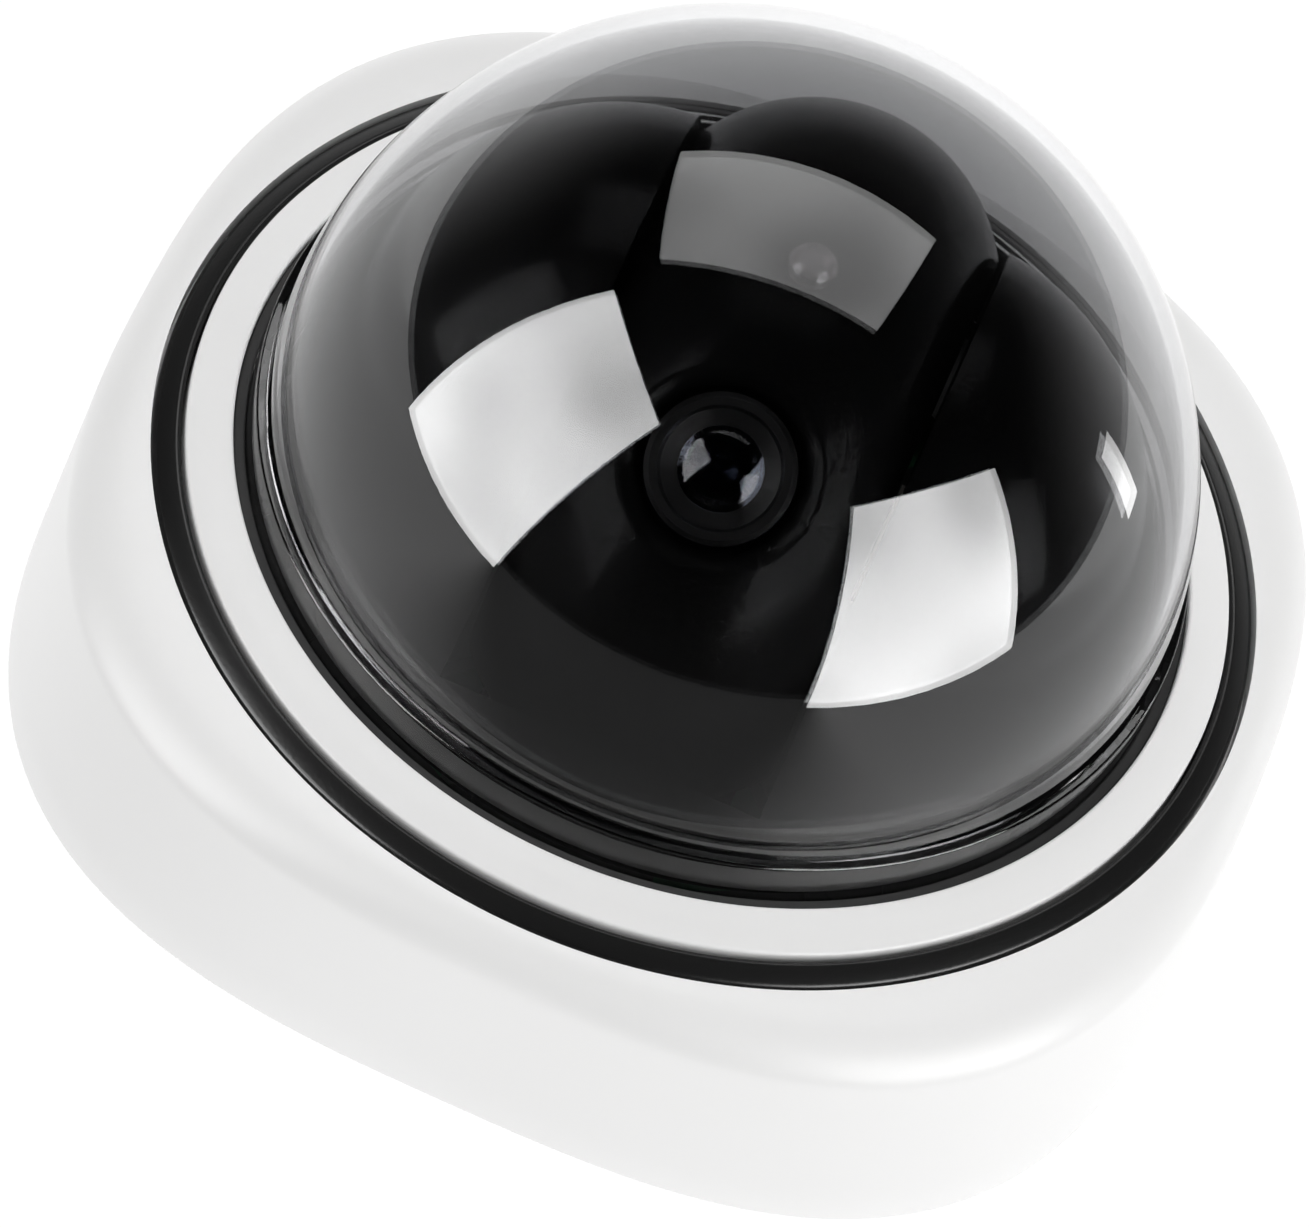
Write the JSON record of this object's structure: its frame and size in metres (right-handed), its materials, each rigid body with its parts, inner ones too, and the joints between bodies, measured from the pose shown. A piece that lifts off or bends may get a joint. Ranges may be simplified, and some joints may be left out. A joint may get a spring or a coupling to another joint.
{
  "type": "dome security camera",
  "caption": "Indoor dome camera with a square rounded base, a clear dome in a twist-lock ring, and a black shroud whose lens drum pans, tilts and focuses.",
  "frame": {"origin": "centre of the base's underside, on the surface it is fixed to", "axes": "+Z out through the dome's crown; the square's sides lie along X and Y; the lens leans towards -Y at rest"},
  "size_m": [0.1182, 0.1182, 0.074],
  "materials": {
    "white_shell": "gloss",
    "black_trim": "semi-gloss",
    "black_matte": "fine texture",
    "black_shroud": "satin",
    "black_drum": "satin",
    "lens_black": "matte",
    "clear_dome": "clear polished polycarbonate",
    "lens_glass": "coated",
    "indicator_clear": "clear with a faint pink tint",
    "seal_rubber": "matte",
    "plate_alloy": "satin",
    "bracket_steel": "brushed",
    "board_green": "solder mask",
    "chip_plastic": "moulded",
    "can_alloy": "drawn can",
    "nylon_natural": "natural",
    "screw_steel": "zinc"
  },
  "bodies": {
    "base": {"body_shell": "white_shell", "base_plate": "plate_alloy", "inner_frame": "black_matte", "trim_ring": "black_trim", "main_board": "board_green", "processor": "chip_plastic", "memory_chips": "chip_plastic", "capacitors": "can_alloy", "power_inductor": "chip_plastic", "cable_header": "nylon_natural", "card_socket": "bracket_steel", "cable_grommet": "seal_rubber", "housing_screws": "screw_steel", "board_screws": "screw_steel", "pan_bracket": "black_matte", "bracket_screws": "screw_steel", "pan_washer": "nylon_natural", "hub_clip": "screw_steel"},
    "cover": {"lock_ring": "white_shell", "dome": "clear_dome", "dome_seal": "seal_rubber", "dome_cushion": "seal_rubber", "clamp_ring": "black_matte"},
    "pan_carriage": {"pan_table": "black_matte", "yoke_arms": "bracket_steel", "shroud": "black_shroud", "shroud_screws": "screw_steel", "tilt_pins": "screw_steel", "tilt_washers": "nylon_natural"},
    "tilt_drum": {"drum_shell": "black_drum", "lens_bezel": "black_drum", "indicator": "indicator_clear", "indicator_board": "chip_plastic", "sensor_plate": "bracket_steel", "sensor_board": "board_green", "image_sensor": "chip_plastic", "lens_holder": "black_matte"},
    "lens": {"lens_barrel": "lens_black", "front_lens": "lens_glass", "rear_lens": "lens_glass"}
  },
  "joints": [
    {"name": "cover_twist", "type": "hinge", "parent": "base", "child": "cover", "pos_m": [0, 0, 0.02], "axis": [0, 0, 1], "range_deg": [0, 20]},
    {"name": "pan", "type": "hinge", "parent": "base", "child": "pan_carriage", "pos_m": [0, 0, 0.0143], "axis": [0, 0, 1], "range_deg": [-175, 175]},
    {"name": "tilt", "type": "hinge", "parent": "pan_carriage", "child": "tilt_drum", "pos_m": [0, 0, 0.02925], "axis": [1, 0, 0], "range_deg": [-20, 20]},
    {"name": "focus", "type": "hinge", "parent": "tilt_drum", "child": "lens", "pos_m": [0, 0, 0.02925], "axis": [0, -0.6428, 0.766], "range_deg": [-90, 90]}
  ]
}
